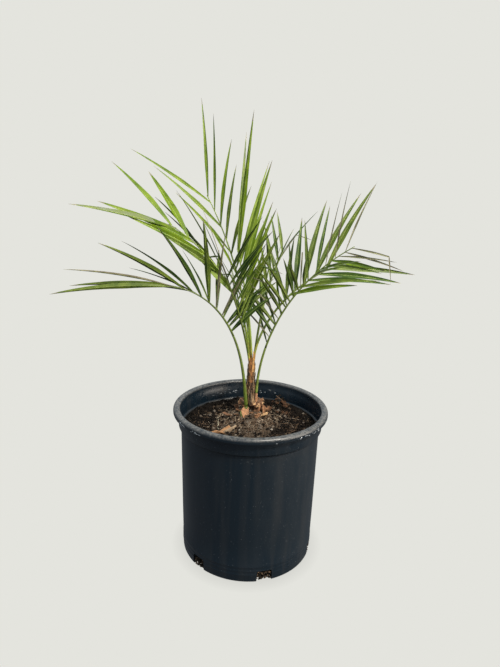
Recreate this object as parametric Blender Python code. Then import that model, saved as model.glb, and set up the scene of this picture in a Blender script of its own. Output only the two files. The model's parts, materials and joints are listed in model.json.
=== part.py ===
"""A young pindo palm in a black nursery pot, built as one still object with +Z up.

The origin is the centre of the pot's flat underside, the camera side is -Y and the plant's right is +X.
Every length is in metres and every angle in degrees.
"""

from math import cos, pi, radians, sin

import bmesh
import bpy
from mathutils import Matrix, Quaternion, Vector
from mathutils.bvhtree import BVHTree

UP = Vector((0, 0, 1))
SIDE_WAY = Vector((0.31, 0.17, 0.05))

# The pot
POT_HEIGHT = 0.2555
LIP_RADIUS = 0.127
LIP_INNER_RADIUS = 0.116
LIP_DROP = 0.009
COLLAR_RADIUS = 0.1155
COLLAR_FOOT = 0.2220
BODY_TOP_RADIUS = 0.1140
BASE_RADIUS = 0.1105
BASE_CHAMFER = 0.004
WALL = 0.0025
FLOOR = 0.003
POT_SIDES = 48
DRAIN_COUNT = 6
DRAIN_FIRST = -74
DRAIN_WIDTH = 0.025
DRAIN_HEIGHT = 0.021
DRAIN_DEPTH = 0.016

# What fills it
SOIL_LEVEL = 0.216
MOUND_RISE = 0.020
MOUND_RADIUS = 0.072
MOUND_CENTRE = Vector((0.000, 0.018, 0))
CLOD_CENTRE = Vector((0.050, 0.072, 0))
CLOD_RISE = 0.014
CLOD_RADIUS = 0.016
LUMP_RISE = 0.0016
SOIL_SIDES = 32
SOIL_RINGS = 9
PAD_RADIUS = 0.026
FIT_GAP = 0.0003

# The trunk
TRUNK_CENTRE = Vector((-0.0012, 0.030, 0))
TRUNK_FOOT = SOIL_LEVEL + MOUND_RISE + FIT_GAP
TRUNK_TOP = 0.321
TRUNK_SIDES = 16
TRUNK_TAPER = (
    (0.000, 0.0150), (0.004, 0.0110), (0.008, 0.0085), (0.015, 0.0070), (0.030, 0.0062), (1.0, 0.0060),
)
BOOT_HEADINGS = (-72, -40, -8, 30, 95, 150, 186)
BOOT_REACH = 0.0240
BOOT_RISE = 0.008
BOOT_RADII = (0.0050, 0.0034)
BASE_RADII = (0.0052, 0.0042, 0.0030)

# Petioles and ribs
SLOT_RING = 0.0041
PETIOLE_FOOT_RADIUS = 0.0018
PETIOLE_TOP_RADIUS = 0.0018
RIB_TIP_RADIUS = 0.0010
LIMB_SIDES = 8
RIB_SIDES = 6
FINE_STEPS = 60
PETIOLE_STEPS = 9
RIB_STEPS = 12
BLADE_LEAD = 0.03
LAST_SHARE = 0.985
ROW_SHIFT = 0.035

# Leaflets
LEAFLET_THICKNESS = 0.0115
LEAFLET_FOLD = 0.35
LEAFLET_OUTLINE = ((0.0, 0.50), (0.12, 0.78), (0.36, 1.00), (0.62, 0.88), (0.84, 0.50), (1.0, 0.14))
CLEARANCE = 0.0012
OPEN_STRAY = 4
RISE_STRAY = 7
LENGTH_STRAY = 0.08
NUDGES = (
    (0, 0), (0, 8), (0, -8), (6, 0), (-6, 0), (0, 16), (0, -16), (9, 12), (-9, -12), (9, -12), (-9, 12),
    (0, 26), (0, -26), (16, 0), (-16, 0), (16, 20), (-16, -20),
)

# Each frond starts at its foot and climbs along a bowed rib of this length. Its heading and its lift run from
# the first value to the second, and bend sets how late they change. Slot is the direction of its foot round
# the top of the trunk, None for the middle. Its blade starts at this share of the rib. Leaflets open from the
# rib by "open", are "leaf" long, and stand above the blade's plane by the rise given with each side's count.
# A pair of values is for the first and the last leaflet of a side.
FRONDS = {
    "low_left": dict(
        foot=(-0.0080, 0.0195, 0.2450), foot_radius=0.0034,
        heading=(190, 195), lift=(85, 0), bend=2.0, length=0.270,
        blade=0.50, open=(75, 8), leaf=(0.105, 0.165), width=0.0090, droop=15,
        left=(9, (75, 50)), right=(8, (75, -80))),
    "tall_left": dict(
        slot=85, heading=(130, 150), lift=(80, 56), bend=1.0, length=0.290,
        blade=0.32, open=(40, 30), leaf=(0.110, 0.150), width=0.0070, droop=8,
        left=(5, (30, -40)), right=(8, (60, 90))),
    "broad_left": dict(
        slot=150, heading=180, lift=(88, 30), bend=1.0, length=0.270,
        blade=0.45, open=(20, 25), leaf=(0.115, 0.158), width=0.0115, droop=10,
        left=(5, (-70, -45)), right=(5, (-40, 40))),
    "front_left": dict(
        slot=215, heading=235, lift=(75, 55), bend=1.0, length=0.170,
        blade=0.38, open=(40, 45), leaf=(0.080, 0.140), width=0.0055, droop=10,
        left=(9, (65, 15)), right=(8, (60, 40))),
    "front_right": dict(
        foot=(0.0085, 0.0300, 0.2650), foot_radius=0.0024, heading=-25, lift=(88, 32), bend=1.0, length=0.310,
        blade=0.30, open=(65, 45), leaf=(0.090, 0.110), width=0.0068, droop=8,
        left=(12, (60, 70)), right=(18, (80, -60))),
    "back_right": dict(
        slot=25, heading=50, lift=(82, 48), bend=1.5, length=0.200,
        blade=0.42, open=(20, 35), leaf=(0.090, 0.085), width=0.0065, droop=6,
        left=(7, (30, 50)), right=(6, (55, 30))),
    "middle_right": dict(
        slot=320, heading=5, lift=(88, 25), bend=0.8, length=0.210,
        blade=0.58, open=(45, 32), leaf=(0.120, 0.150), width=0.0095, droop=14,
        left=(5, (55, 85)), right=(5, (-30, -75))),
    "newest": dict(
        slot=None, heading=185, lift=(88, 76), bend=0.8, length=0.190,
        blade=0.50, open=(30, 25), leaf=(0.120, 0.200), width=0.0085, droop=8,
        left=(4, 60), right=(5, (110, 60))),
}


def clear_scene():
    for thing in list(bpy.data.objects):
        bpy.data.objects.remove(thing, do_unlink=True)


def finish(name, colour, roughness):
    """The plain surface of one kind of piece."""
    made = bpy.data.materials.new(name)
    made.use_nodes = True
    shader = made.node_tree.nodes["Principled BSDF"]
    shader.inputs["Base Color"].default_value = (*colour, 1)
    shader.inputs["Roughness"].default_value = roughness
    shader.inputs["Metallic"].default_value = 0
    return made


def mesh_of(points, faces):
    mesh = bpy.data.meshes.new("shape")
    mesh.from_pydata([tuple(p) for p in points], [], faces)
    mesh.update()
    return mesh


def piece(name, mesh, surface=None, smooth=False):
    """An object in the scene that holds this mesh."""
    thing = bpy.data.objects.new(name, mesh)
    bpy.context.scene.collection.objects.link(thing)
    if surface:
        mesh.materials.clear()
        mesh.materials.append(surface)
    if smooth:
        mesh.shade_smooth()
        mesh.set_sharp_from_angle(angle=radians(40))
    return thing


def turned(profile, sides):
    """The solid that a closed outline of (radius, height) makes about the Z axis."""
    shape = bmesh.new()
    corners = [shape.verts.new((radius, 0, height)) for radius, height in profile]
    for first, second in zip(corners, corners[1:]):
        shape.edges.new((first, second))
    bmesh.ops.spin(
        shape, geom=shape.verts[:] + shape.edges[:], cent=(0, 0, 0), axis=(0, 0, 1),
        angle=2 * pi, steps=sides, use_merge=False, use_duplicate=False,
    )
    bmesh.ops.remove_doubles(shape, verts=shape.verts[:], dist=1e-6)
    bmesh.ops.recalc_face_normals(shape, faces=shape.faces[:])
    mesh = bpy.data.meshes.new("turned")
    shape.to_mesh(mesh)
    shape.free()
    return mesh


def joined(name, base, others, operation="UNION"):
    """base with every one of the others added to it or cut from it, by one Boolean that is applied."""
    group = bpy.data.collections.new(name + "_parts")
    bpy.context.scene.collection.children.link(group)
    for other in others:
        for home in list(other.users_collection):
            home.objects.unlink(other)
        group.objects.link(other)
    step = base.modifiers.new("join", "BOOLEAN")
    step.operation = operation
    step.operand_type = "COLLECTION"
    step.collection = group
    step.solver = "EXACT"
    bpy.context.view_layer.update()
    graph = bpy.context.evaluated_depsgraph_get()
    mesh = bpy.data.meshes.new_from_object(base.evaluated_get(graph))
    base.modifiers.clear()
    base.data = mesh
    for other in others:
        bpy.data.objects.remove(other, do_unlink=True)
    bpy.data.collections.remove(group)
    return base


def ring_sweep(line, radii, sides):
    """A tube of the given radius at each point of a line."""
    points, faces = [], []
    last = len(line) - 1
    for i, centre in enumerate(line):
        along = (line[min(i + 1, last)] - line[max(i - 1, 0)]).normalized()
        across = along.cross(SIDE_WAY).normalized()
        other = along.cross(across)
        for k in range(sides):
            turn = 2 * pi * k / sides
            points.append(centre + radii[i] * (cos(turn) * across + sin(turn) * other))
    for i in range(last):
        for k in range(sides):
            a, b = i * sides + k, i * sides + (k + 1) % sides
            faces.append((a, b, b + sides, a + sides))
    faces.append(tuple(reversed(range(sides))))
    faces.append(tuple(range(last * sides, (last + 1) * sides)))
    return mesh_of(points, faces)


def pot():
    inside = LIP_INNER_RADIUS
    lip_foot = POT_HEIGHT - LIP_DROP
    outline = [
        (0, 0),
        (BASE_RADIUS - BASE_CHAMFER, 0),
        (BASE_RADIUS, BASE_CHAMFER),
        (BODY_TOP_RADIUS, COLLAR_FOOT),
        (COLLAR_RADIUS + WALL, COLLAR_FOOT + WALL),
        (COLLAR_RADIUS + WALL, lip_foot),
        (LIP_RADIUS - 0.0015, lip_foot),
        (LIP_RADIUS, lip_foot + 0.0015),
        (LIP_RADIUS, POT_HEIGHT - 0.0045),
        (LIP_RADIUS - 0.0015, POT_HEIGHT - 0.0015),
        (LIP_RADIUS - 0.0045, POT_HEIGHT),
        (inside + 0.0030, POT_HEIGHT),
        (inside + 0.0005, POT_HEIGHT - 0.0015),
        (inside, POT_HEIGHT - 0.0040),
        (COLLAR_RADIUS, COLLAR_FOOT + 2 * WALL),
        (BODY_TOP_RADIUS - WALL, COLLAR_FOOT),
        (BASE_RADIUS - WALL, FLOOR + 0.003),
        (BASE_RADIUS - WALL - 0.003, FLOOR),
        (0, FLOOR),
    ]
    plastic = finish("black plastic", (0.014, 0.017, 0.021), 0.4)
    body = piece("pot", turned(outline, POT_SIDES), plastic, smooth=True)
    cutters = []
    for i in range(DRAIN_COUNT):
        turn = radians(DRAIN_FIRST + 360 * i / DRAIN_COUNT)
        bpy.ops.mesh.primitive_cube_add(size=1)
        slot = bpy.context.object
        slot.scale = (2 * DRAIN_DEPTH, DRAIN_WIDTH, 2 * DRAIN_HEIGHT)
        slot.location = (BASE_RADIUS * cos(turn), BASE_RADIUS * sin(turn), 0)
        slot.rotation_euler = (0, 0, turn)
        cutters.append(slot)
    return joined("pot", body, cutters, "DIFFERENCE")


def ease(x):
    """1 at 0, falling smoothly to 0 at 1 and staying there."""
    x = min(max(x, 0), 1)
    return 1 - x * x * (3 - 2 * x)


def lumps(x, y):
    """Small rises and dips of the soil, between -1 and 1."""
    waves = ((131, 40, 0.3), (-72, 118, 1.9), (95, -143, 4.0), (210, 160, 5.1))
    return sum(sin(a * x + b * y + c) for a, b, c in waves) / len(waves)


def soil_height(x, y):
    here = Vector((x, y, 0))
    rise = MOUND_RISE * ease((here - MOUND_CENTRE).length / MOUND_RADIUS)
    rise += CLOD_RISE * ease((here - CLOD_CENTRE).length / CLOD_RADIUS)
    rise += LUMP_RISE * lumps(x, y)
    flat = ease(((here - TRUNK_CENTRE).length - PAD_RADIUS) / 0.012)
    return SOIL_LEVEL + rise * (1 - flat) + MOUND_RISE * flat


def soil():
    """The root ball and potting mix, level under the trunk and mounded round it."""
    wall_foot = BASE_RADIUS - WALL - FIT_GAP
    wall_top = BODY_TOP_RADIUS - WALL - FIT_GAP
    edge = wall_foot + (wall_top - wall_foot) * SOIL_LEVEL / COLLAR_FOOT - 0.0006
    points, faces = [], []
    for ring in range(SOIL_RINGS + 1):
        share = ring / SOIL_RINGS
        for k in range(SOIL_SIDES):
            turn = 2 * pi * k / SOIL_SIDES
            pad = TRUNK_CENTRE + PAD_RADIUS * Vector((cos(turn), sin(turn), 0))
            rim = edge * Vector((cos(turn), sin(turn), 0))
            spot = pad.lerp(rim, share)
            height = soil_height(spot.x, spot.y) if ring < SOIL_RINGS else SOIL_LEVEL
            points.append((spot.x, spot.y, height))
    floor = FLOOR + FIT_GAP
    for radius, height in ((wall_foot - 0.0012, floor + 0.0036), (wall_foot - 0.0042, floor)):
        for k in range(SOIL_SIDES):
            turn = 2 * pi * k / SOIL_SIDES
            points.append((radius * cos(turn), radius * sin(turn), height))
    for ring in range(SOIL_RINGS + 2):
        for k in range(SOIL_SIDES):
            a, b = ring * SOIL_SIDES + k, ring * SOIL_SIDES + (k + 1) % SOIL_SIDES
            faces.append((a, a + SOIL_SIDES, b + SOIL_SIDES, b))
    count = len(points)
    faces.append(tuple(range(SOIL_SIDES)))
    faces.append(tuple(reversed(range(count - SOIL_SIDES, count))))
    return piece("soil", mesh_of(points, faces), finish("potting mix", (0.045, 0.033, 0.024), 0.95))


def direction(heading, lift):
    """The unit vector that points this way round from +X and this far above level."""
    turn, climb = radians(heading), radians(lift)
    return Vector((cos(turn) * cos(climb), sin(turn) * cos(climb), sin(climb)))


def between(pair, share):
    """The value at this share of the way through a pair, or the one value that stays."""
    if isinstance(pair, (int, float)):
        return pair
    return pair[0] + (pair[1] - pair[0]) * share


def foot_of(frond):
    """Where a frond starts: its own foot, or its slot with the cut end just clear of the trunk's top."""
    if "foot" in frond:
        return Vector(frond["foot"])
    drop = PETIOLE_FOOT_RADIUS * cos(radians(frond["lift"][0]))
    foot = TRUNK_CENTRE + Vector((0, 0, TRUNK_TOP + FIT_GAP + drop))
    if frond["slot"] is not None:
        foot += SLOT_RING * direction(frond["slot"], 0)
    return foot


def bowed_line(frond):
    """The points along a frond from foot to tip, with the heading and lift between each and the next."""
    points, ways = [foot_of(frond)], []
    for i in range(FINE_STEPS):
        late = ((i + 0.5) / FINE_STEPS) ** frond["bend"]
        heading, lift = between(frond["heading"], late), between(frond["lift"], late)
        ways.append((heading, lift))
        points.append(points[-1] + direction(heading, lift) * frond["length"] / FINE_STEPS)
    return points, ways


def station(frond, share):
    """The point at this share of a frond, the way it runs, its upper side and its right side."""
    points, ways = bowed_line(frond)
    place = min(share, 1) * FINE_STEPS
    step = min(int(place), FINE_STEPS - 1)
    heading, lift = ways[step]
    along = direction(heading, lift)
    upper = direction(heading, lift + 90)
    return points[step].lerp(points[step + 1], place - step), along, upper, along.cross(upper)


def limb(frond, first, last, radii, steps, sides):
    """A tapered tube along part of a frond."""
    line = [station(frond, between((first, last), i / steps))[0] for i in range(steps + 1)]
    widths = [between(radii, i / steps) for i in range(steps + 1)]
    return ring_sweep(line, widths, sides)


def blade_start(frond):
    return frond["blade"] - BLADE_LEAD


def leaf_rows(frond):
    """Both sides' leaflets, evenly spaced from the blade's start to near its tip, the sides staggered."""
    rows = []
    for side in (-1, 1):
        count, rise = frond["left" if side < 0 else "right"]
        late = ROW_SHIFT if side > 0 else 0
        span = (frond["blade"] + late, LAST_SHARE - ROW_SHIFT + late)
        rows.append((side, count, span, frond["open"], rise, frond["leaf"], frond["width"], frond["droop"]))
    return rows


def stray(number, side, pace):
    """How far one leaflet strays from its row's rule, between -1 and 1."""
    return sin(pace * number + 1.7 * side)


def leaflet(frond, row, number, nudge=(0, 0), shorter=1.0, spare=0.0):
    """One leaflet of a row: its points and faces. spare makes it thicker all round, to test its room."""
    side, count, span, opening, rise, length, width, droop = row
    share = number / (count - 1) if count > 1 else 0
    base, along, upper, right = station(frond, between(span, share))
    late = 1 - ease(share)
    wide = radians(between(opening, late) + OPEN_STRAY * stray(number, side, 2.3) + nudge[0])
    up = radians(between(rise, late) + RISE_STRAY * stray(number, side, 4.1) + nudge[1])
    size = between(length, share) * (1 + LENGTH_STRAY * stray(number, side, 5.3)) * shorter
    way = cos(wide) * along + sin(wide) * (cos(up) * side * right + sin(up) * upper)
    face = cos(up) * upper - side * sin(up) * right
    hinge = way.cross(UP).normalized()
    thick = size * LEAFLET_THICKNESS / 2 + spare
    points, faces = [], []
    spot, reached = base.copy(), 0
    for distance, fullness in LEAFLET_OUTLINE:
        tilt = radians(droop) * (0.5 - (distance + reached) / 2)
        run = Quaternion(hinge, tilt) @ way
        spot = spot + run * (distance - reached) * size
        reached = distance
        across = run.cross(face).normalized()
        top = across.cross(run).normalized()
        half = across * (width + 2 * spare) * fullness / 2
        fold = top * half.length * LEAFLET_FOLD
        depth = top * thick * (0.4 + 0.6 * fullness)
        points += [spot - half + fold, spot + depth, spot + half + fold, spot - depth]
    rings = len(LEAFLET_OUTLINE)
    for ring in range(rings - 1):
        for k in range(4):
            a, b = 4 * ring + k, 4 * ring + (k + 1) % 4
            faces.append((a, b, b + 4, a + 4))
    faces += [(1, 0, 3), (2, 1, 3)]
    end = 4 * (rings - 1)
    faces += [(end, end + 1, end + 3), (end + 1, end + 2, end + 3)]
    return points, faces


def facing_out(mesh):
    """The same mesh with every face turned outward."""
    shape = bmesh.new()
    shape.from_mesh(mesh)
    bmesh.ops.recalc_face_normals(shape, faces=shape.faces[:])
    shape.to_mesh(mesh)
    shape.free()
    return mesh


def room_of(mesh):
    """A tree that finds what touches this mesh."""
    shape = bmesh.new()
    shape.from_mesh(mesh)
    tree = BVHTree.FromBMesh(shape)
    shape.free()
    return tree


def placed_leaflet(frond, row, number, others):
    """A leaflet that touches none of the other limbs and leaflets, turned where it must, else None."""
    for shorter in (1.0, 0.8, 0.6):
        for nudge in NUDGES:
            points, faces = leaflet(frond, row, number, nudge, shorter, CLEARANCE)
            room = BVHTree.FromPolygons(points, faces)
            if not any(room.overlap(other) for other in others):
                return facing_out(mesh_of(*leaflet(frond, row, number, nudge, shorter)))
    return None


def trunk():
    """The swollen foot and fibrous stem, with the stubs of old leaf bases standing round the foot."""
    outline = [(0, TRUNK_FOOT)]
    for height, radius in TRUNK_TAPER:
        outline.append((radius, min(TRUNK_FOOT + height, TRUNK_TOP)))
    outline.append((0, TRUNK_TOP))
    stem = piece("trunk", turned(outline, TRUNK_SIDES), finish("fibrous trunk", (0.09, 0.055, 0.03), 0.9))
    stem.data.transform(Matrix.Translation(TRUNK_CENTRE))
    stubs = []
    for turn in BOOT_HEADINGS:
        inner = TRUNK_CENTRE + Vector((0, 0, TRUNK_FOOT + BOOT_RADII[0] + 0.0005))
        outer = inner + direction(turn, 0) * BOOT_REACH + Vector((0, 0, BOOT_RISE))
        line = [inner.lerp(outer, share) for share in (0.25, 0.6, 1)]
        widths = [between(BOOT_RADII, share) for share in (0.25, 0.6, 1)]
        stubs.append(piece("stub", facing_out(ring_sweep(line, widths, 7))))
    for frond in FRONDS.values():
        if "foot" in frond:
            way = direction(between(frond["heading"], 0), frond["lift"][0])
            top = foot_of(frond) - way * FIT_GAP
            bottom = top - way * (top.z - TRUNK_FOOT - 0.0015)
            line = [bottom, bottom.lerp(top, 0.6), top]
            stubs.append(piece("stub", facing_out(ring_sweep(line, BASE_RADII, 8))))
    joined("trunk", stem, stubs)
    stem.data.materials.clear()
    stem.data.materials.append(bpy.data.materials["fibrous trunk"])
    return stem


def fronds(stem):
    """Every petiole, then every rib with its leaflets joined to it, each clear of the other fronds."""
    green = finish("leaf green", (0.07, 0.13, 0.02), 0.45)
    olive = finish("petiole green", (0.12, 0.17, 0.04), 0.5)
    petioles, ribs = {}, {}
    for name, frond in FRONDS.items():
        start = blade_start(frond)
        foot_radius = frond.get("foot_radius", PETIOLE_FOOT_RADIUS)
        tube = limb(frond, 0, start, (foot_radius, PETIOLE_TOP_RADIUS), PETIOLE_STEPS, LIMB_SIDES)
        petioles[name] = piece("petiole_" + name, facing_out(tube), olive)
        gap = 1.4 * FIT_GAP / frond["length"]
        tube = limb(frond, start + gap, 1, (PETIOLE_TOP_RADIUS, RIB_TIP_RADIUS), RIB_STEPS, RIB_SIDES)
        ribs[name] = piece("frond_" + name, facing_out(tube), green)
    fixed = [room_of(thing.data) for thing in (stem, *petioles.values())]
    taken = {name: [room_of(rib.data)] for name, rib in ribs.items()}
    for name, frond in FRONDS.items():
        others = fixed + [room for other, rooms in taken.items() if other != name for room in rooms]
        leaves = []
        for row in leaf_rows(frond):
            for number in range(row[1]):
                mesh = placed_leaflet(frond, row, number, others + taken[name][1:])
                if mesh:
                    leaves.append(piece("leaflet", mesh))
                    taken[name].append(room_of(mesh))
        joined(name, ribs[name], leaves)
        ribs[name].data.materials.clear()
        ribs[name].data.materials.append(green)


def main():
    clear_scene()
    pot()
    soil()
    fronds(trunk())


main()
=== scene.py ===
"""The looks of a young pindo palm in a black nursery pot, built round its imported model.

Lengths are in metres and angles in degrees. The camera side is -Y and +X is to its right.
"""

import json
import random
from math import cos, pi, radians, sin, sqrt

import bmesh
import bpy
from mathutils import Matrix, Quaternion, Vector, noise

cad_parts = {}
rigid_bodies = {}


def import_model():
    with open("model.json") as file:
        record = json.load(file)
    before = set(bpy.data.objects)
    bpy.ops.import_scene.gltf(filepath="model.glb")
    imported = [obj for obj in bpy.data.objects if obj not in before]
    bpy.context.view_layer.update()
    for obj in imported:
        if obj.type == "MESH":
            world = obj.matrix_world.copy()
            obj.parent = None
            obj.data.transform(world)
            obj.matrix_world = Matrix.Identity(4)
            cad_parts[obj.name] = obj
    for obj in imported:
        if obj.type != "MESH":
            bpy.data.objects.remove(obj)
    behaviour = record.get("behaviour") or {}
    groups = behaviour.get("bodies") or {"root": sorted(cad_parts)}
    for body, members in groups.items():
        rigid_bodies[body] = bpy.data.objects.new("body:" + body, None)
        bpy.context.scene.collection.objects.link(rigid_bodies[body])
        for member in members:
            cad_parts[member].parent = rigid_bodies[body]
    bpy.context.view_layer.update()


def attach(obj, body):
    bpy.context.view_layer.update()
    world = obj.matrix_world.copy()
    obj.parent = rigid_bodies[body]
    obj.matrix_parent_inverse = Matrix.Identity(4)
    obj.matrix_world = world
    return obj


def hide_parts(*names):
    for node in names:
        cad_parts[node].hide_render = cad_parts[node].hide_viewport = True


UP = Vector((0, 0, 1))
SEED = 7

# The pot
POT_HEIGHT = 0.2555
LIP_RADIUS = 0.127
LIP_INNER_RADIUS = 0.116
LIP_DROP = 0.009
COLLAR_RADIUS = 0.1155
COLLAR_FOOT = 0.2220
BODY_TOP_RADIUS = 0.1140
BASE_RADIUS = 0.1105
WALL = 0.0025
POT_FLOOR = 0.003
POT_SIDES = 144
DRAIN_COUNT = 6
DRAIN_FIRST = -74
DRAIN_WIDTH = 0.025
DRAIN_HEIGHT = 0.021
DRAIN_DEPTH = 0.016
MOULDED_RINGS = (0.014, 0.021, 0.028)

# Where the pot is wet: first and last heading, how many drops, radius, lowest and highest place, and 1 for
# drops that face out
WET_STRETCHES = (
    (104, 130, 16, COLLAR_RADIUS - 0.0006, 0.2320, 0.2410, -1),
    (66, 92, 8, COLLAR_RADIUS - 0.0006, 0.2330, 0.2400, -1),
    (-148, -122, 14, LIP_RADIUS, 0.2475, 0.2500, 1),
    (-54, -32, 12, LIP_RADIUS, 0.2475, 0.2500, 1),
    (0, 360, 14, LIP_RADIUS, 0.2475, 0.2510, 1),
)

# What fills it
SOIL_LEVEL = 0.216
MOUND_RISE = 0.020
MOUND_RADIUS = 0.072
MOUND_CENTRE = Vector((0.000, 0.018, 0))
CLOD_CENTRE = Vector((0.050, 0.072, 0))
CLOD_RISE = 0.016
CLOD_RADIUS = 0.021
CLOD_PILE = 0.013
RIM_RISE = 0.0062
RIM_START = 0.080
RIM_BREADTH = 0.026
SOIL_SPACING = 0.0016
CRUMB_COUNT = 4200
FIBRE_COUNT = 1500
SCALE_COUNT = 14
SCALE_CUP = 0.35
SCALE_THICKNESS = 0.0009
CLOD_COUNT = 240
ROOT_BALL_CENTRE = Vector((-0.010, -0.006, SOIL_LEVEL + MOUND_RISE))
ROOT_BALL_REACH = 0.054

# The trunk
TRUNK_CENTRE = Vector((-0.0012, 0.030, 0))
TRUNK_FOOT = SOIL_LEVEL + MOUND_RISE
TRUNK_TOP = 0.321
TRUNK_TAPER = (
    (0.000, 0.0150), (0.004, 0.0108), (0.008, 0.0082), (0.015, 0.0066), (0.030, 0.0056), (0.085, 0.0050),
)
BOOT_HEADINGS = (-72, -40, -8, 30, 95, 150, 186, -56, -24, 12, 62)
BOOT_REACH = 0.0240
BOOT_RISE = 0.009
STRAND_COUNT = 230

# The largest torn scales by the stem: place, heading and lift they lean at, length, half width and surface
MAIN_SCALES = (
    (-0.0070, 0.003, 110, 48, 0.017, 0.0070, 3),
    (0.0090, 0.013, 60, 62, 0.018, 0.0050, 1),
    (0.0225, 0.018, 80, 78, 0.018, 0.0024, 3),
    (-0.0225, 0.034, 120, 60, 0.013, 0.0036, 1),
    (-0.0130, 0.002, 140, 65, 0.012, 0.0018, 4),
)

# Petioles and ribs
SLOT_RING = 0.0041
PETIOLE_FOOT_RADIUS = 0.0019
PETIOLE_TOP_RADIUS = 0.0018
RIB_TIP_RADIUS = 0.0007
FINE_STEPS = 60
BLADE_LEAD = 0.03
LAST_SHARE = 0.985
ROW_SHIFT = 0.035

# Leaflets
LEAFLET_FOLD = 0.45
LEAFLET_STEPS = 14
OPEN_STRAY = 4
RISE_STRAY = 7
LENGTH_STRAY = 0.08
DRY_WIDTH = 0.5
DRY_ENDS = {"front_right": 3}
SNAPPED_SHARE = 0.16
SNAP_WIDTH = 0.0058
SNAP_PLACE = 0.66
SNAP_ANGLE = 70
# The leaf colours a frond of each tone deals out; dark and bright stand partly for painted shade and painted
# sunlight.
NEIGHBOUR_TONES = {
    "dark": ("dark", "dark", "dark", "middle", "middle", "dry"),
    "middle": ("middle", "middle", "middle", "middle", "dark", "dark", "bright", "dry"),
    "bright": ("bright", "bright", "bright", "middle", "pale"),
}

# Each frond starts at its foot and climbs along a bowed rib of this length. Its heading and its lift run from
# the first value to the second, and bend sets how late they change. Slot is the direction of its foot round
# the top of the trunk, None for the middle. Its blade starts at this share of the rib. Leaflets open from the
# rib by "open", are "leaf" long, and stand above the blade's plane by the rise given with each side's count.
# A pair of values is for the first and the last leaflet of a side. Tone is the colour most leaflets have; the
# dark tone is partly painted shade on fronds that lie in shadow and the bright one partly painted sunlight,
# besides the leaves' own colour.
FRONDS = {
    "low_left": dict(
        foot=(-0.0080, 0.0195, 0.2450), foot_radius=0.0034,
        heading=(190, 195), lift=(85, 0), bend=2.0, length=0.270,
        blade=0.50, open=(75, 8), leaf=(0.105, 0.165), width=0.0090, droop=15, tone="dark",
        left=(9, (75, 50)), right=(8, (75, -80))),
    "tall_left": dict(
        slot=85, heading=(130, 150), lift=(80, 56), bend=1.0, length=0.290,
        blade=0.32, open=(40, 30), leaf=(0.110, 0.150), width=0.0070, droop=8, tone="bright",
        left=(5, (30, -40)), right=(8, (60, 90))),
    "broad_left": dict(
        slot=150, heading=180, lift=(88, 30), bend=1.0, length=0.270,
        blade=0.45, open=(20, 25), leaf=(0.115, 0.158), width=0.0115, droop=10, tone="bright",
        left=(5, (-70, -45)), right=(5, (-40, 40))),
    "front_left": dict(
        slot=215, heading=235, lift=(75, 55), bend=1.0, length=0.170,
        blade=0.38, open=(40, 45), leaf=(0.080, 0.140), width=0.0055, droop=10, tone="dark",
        left=(9, (65, 15)), right=(8, (60, 40))),
    "front_right": dict(
        foot=(0.0085, 0.0300, 0.2650), foot_radius=0.0024, heading=-25, lift=(88, 32), bend=1.0, length=0.310,
        blade=0.30, open=(65, 45), leaf=(0.090, 0.110), width=0.0068, droop=8, tone="middle",
        left=(12, (60, 70)), right=(18, (80, -60))),
    "back_right": dict(
        slot=25, heading=50, lift=(82, 48), bend=1.5, length=0.200,
        blade=0.42, open=(20, 35), leaf=(0.090, 0.085), width=0.0065, droop=6, tone="middle",
        left=(7, (30, 50)), right=(6, (55, 30))),
    "middle_right": dict(
        slot=320, heading=5, lift=(88, 25), bend=0.8, length=0.210,
        blade=0.58, open=(45, 32), leaf=(0.120, 0.150), width=0.0095, droop=14, tone="middle",
        left=(5, (55, 85)), right=(5, (-30, -75))),
    "newest": dict(
        slot=None, heading=185, lift=(88, 76), bend=0.8, length=0.190,
        blade=0.50, open=(30, 25), leaf=(0.120, 0.200), width=0.0085, droop=8, tone="bright",
        left=(4, 60), right=(5, (110, 60))),
}

# Leaf colours, linear: the shaded one and the lit one that each leaflet is mottled with
LEAF_COLOURS = {
    "dark leaf": ((0.020, 0.046, 0.006), (0.052, 0.092, 0.012)),
    "middle leaf": ((0.040, 0.069, 0.006), (0.096, 0.132, 0.013)),
    "bright leaf": ((0.060, 0.112, 0.003), (0.130, 0.192, 0.006)),
    "pale leaf": ((0.090, 0.148, 0.010), (0.160, 0.225, 0.022)),
    "dry leaf": ((0.090, 0.072, 0.045), (0.200, 0.175, 0.120)),
    "midrib": ((0.150, 0.205, 0.040), (0.260, 0.320, 0.090)),
}
# Stalk colours follow the frond's tone, so the dark and bright ones are partly painted shade and sunlight
# too.
STALK_COLOURS = {
    "dark": (0.078, 0.108, 0.014),
    "middle": (0.120, 0.160, 0.030),
    "bright": (0.175, 0.235, 0.032),
}
# How strongly a dry and a waxy surface mirror
DULL = 0.08
GLOSS = 0.40
BACKGROUND = (0.776, 0.776, 0.730)
ZENITH = (0.70, 0.80, 0.88)
HORIZON = (0.13, 0.14, 0.15)

# The camera
CAMERA_SPOT = Vector((0.0, -0.80, 0.594))
CAMERA_AIM = Vector((-0.005, 0.0, 0.3777))
CAMERA_ROLL = 0.032
CAMERA_LENS = 28.07


class Wire:
    """A value in a shader that arithmetic can be written with."""

    def __init__(self, graph, socket):
        self.graph = graph
        self.socket = socket

    def sum(self, operation, first, second):
        return self.graph.add("ShaderNodeMath", {"operation": operation}, [first, second])

    def __add__(self, other):
        return self.sum("ADD", self, other)

    def __mul__(self, other):
        return self.sum("MULTIPLY", self, other)

    def __sub__(self, other):
        return self.sum("SUBTRACT", self, other)

    def __rsub__(self, other):
        return self.sum("SUBTRACT", other, self)

    __radd__ = __add__
    __rmul__ = __mul__

    def clamp(self, low, high):
        return self.graph.add("ShaderNodeMapRange", {}, {"Value": self, "From Min": low, "From Max": high})


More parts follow.
